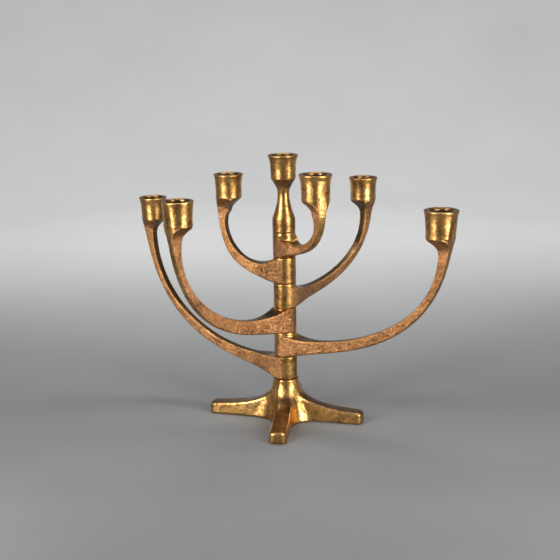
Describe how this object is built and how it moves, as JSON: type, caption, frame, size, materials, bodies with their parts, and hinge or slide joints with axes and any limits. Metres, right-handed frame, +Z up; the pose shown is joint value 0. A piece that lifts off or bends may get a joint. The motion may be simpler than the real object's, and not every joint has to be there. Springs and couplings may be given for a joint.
{
  "type": "menorah",
  "caption": "Free-standing bronze menorah: curved candle arms that swivel on a central column, a cross-shaped foot and a taller centre cup.",
  "frame": {"origin": "on the floor plane at the axis of the column", "axes": "+Z up along the column; the right foot points near +X and the front foot near -Y"},
  "size_m": [0.3738, 0.2611, 0.2946],
  "materials": {
    "cast_bronze": "sand-cast bronze with an antique brown-gold patina, polished on cups, hubs and edges",
    "steel_fastener": "zinc-plated steel, slightly dulled"
  },
  "bodies": {
    "stand": {"base": "cast_bronze", "tie_rod": "steel_fastener", "clamp_nut": "steel_fastener", "clamp_washer": "steel_fastener"},
    "arm_long_low": {"arm_long_low": "cast_bronze"},
    "arm_long_high": {"arm_long_high": "cast_bronze"},
    "arm_middle_low": {"arm_middle_low": "cast_bronze"},
    "arm_middle_high": {"arm_middle_high": "cast_bronze"},
    "arm_short_low": {"arm_short_low": "cast_bronze"},
    "arm_short_high": {"arm_short_high": "cast_bronze"},
    "centre_cup": {"centre_cup": "cast_bronze"}
  },
  "joints": [
    {"name": "arm_long_low_swivel", "type": "hinge", "parent": "stand", "child": "arm_long_low", "pos_m": [0, 0, 0.06], "axis": [0, 0, 1], "range_deg": [-80, 80]},
    {"name": "arm_long_high_swivel", "type": "hinge", "parent": "stand", "child": "arm_long_high", "pos_m": [0, 0, 0.08675], "axis": [0, 0, 1], "range_deg": [-80, 80]},
    {"name": "arm_middle_low_swivel", "type": "hinge", "parent": "stand", "child": "arm_middle_low", "pos_m": [0, 0, 0.11425], "axis": [0, 0, 1], "range_deg": [-75, 75]},
    {"name": "arm_middle_high_swivel", "type": "hinge", "parent": "stand", "child": "arm_middle_high", "pos_m": [0, 0, 0.14175], "axis": [0, 0, 1], "range_deg": [-75, 75]},
    {"name": "arm_short_low_swivel", "type": "hinge", "parent": "stand", "child": "arm_short_low", "pos_m": [0, 0, 0.17], "axis": [0, 0, 1], "range_deg": [-85, 55]},
    {"name": "arm_short_high_swivel", "type": "hinge", "parent": "stand", "child": "arm_short_high", "pos_m": [0, 0, 0.19825], "axis": [0, 0, 1], "range_deg": [-55, 85]},
    {"name": "centre_cup_unscrew", "type": "hinge", "parent": "stand", "child": "centre_cup", "pos_m": [0, 0, 0.212], "axis": [0, 0, 1], "range_deg": [0, 360]}
  ]
}
